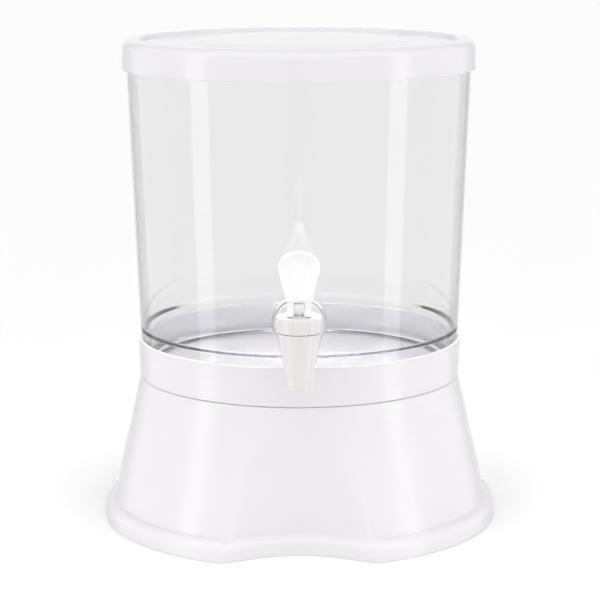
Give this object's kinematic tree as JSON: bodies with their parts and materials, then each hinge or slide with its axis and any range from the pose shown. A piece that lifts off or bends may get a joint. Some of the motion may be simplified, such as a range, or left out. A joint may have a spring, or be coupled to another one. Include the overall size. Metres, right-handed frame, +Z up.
{
  "type": "drink dispenser",
  "caption": "Countertop drink dispenser with a clear tapered tank, a lift-off lid and a lever tap, standing in a scooped stand.",
  "frame": {"origin": "middle of the floor rectangle under the whole dispenser, tap included", "axes": "+Z up, the tap faces -Y, +X to the right seen from the front"},
  "size_m": [0.2728, 0.2892, 0.3302],
  "materials": {
    "stand_white": "moulded white plastic, soft gloss",
    "lid_white": "moulded white plastic, gloss",
    "tap_white": "moulded white plastic, gloss",
    "lever_white": "moulded white plastic, gloss",
    "tank_clear": "clear moulded plastic",
    "washer_rubber": "grey rubber",
    "silicone": "pale silicone rubber",
    "stem_white": "moulded off-white plastic",
    "steel": "plain stainless wire"
  },
  "bodies": {
    "stand": {"stand_skirt": "stand_white", "stand_collar": "stand_white"},
    "tank": {"tank": "tank_clear", "tap_outer_washer": "washer_rubber", "tap_inner_washer": "washer_rubber", "tap_shank_nut": "tap_white", "tap_body": "tap_white", "tap_bonnet": "tap_white", "tap_bonnet_seal": "silicone", "tap_spring": "steel"},
    "lid": {"lid": "lid_white"},
    "stem": {"tap_stem": "stem_white", "tap_seat_cup": "silicone"},
    "lever": {"tap_lever": "lever_white", "tap_lever_pin": "steel"}
  },
  "joints": [
    {"name": "tank_lift", "type": "slide", "parent": "stand", "child": "tank", "axis": [0, 0, 1], "range_m": [0, 0.15]},
    {"name": "lid_lift", "type": "slide", "parent": "tank", "child": "lid", "axis": [0, 0, 1], "range_m": [0, 0.12]},
    {"name": "stem_lift", "type": "slide", "parent": "tank", "child": "stem", "axis": [0, 0, 1], "range_m": [0, 0.005], "stiffness_N_per_m": 40, "springref_m": -0.001, "deforming": ["tap_spring"]},
    {"name": "lever_tilt", "type": "hinge", "parent": "stem", "child": "lever", "pos_m": [0, -0.12989, 0.1718], "axis": [1, 0, 0], "range_deg": [0, 45]}
  ],
  "couplings": [
    {"joint": "lever_tilt", "follows": "stem_lift", "rad_per_m": 157.08}
  ]
}
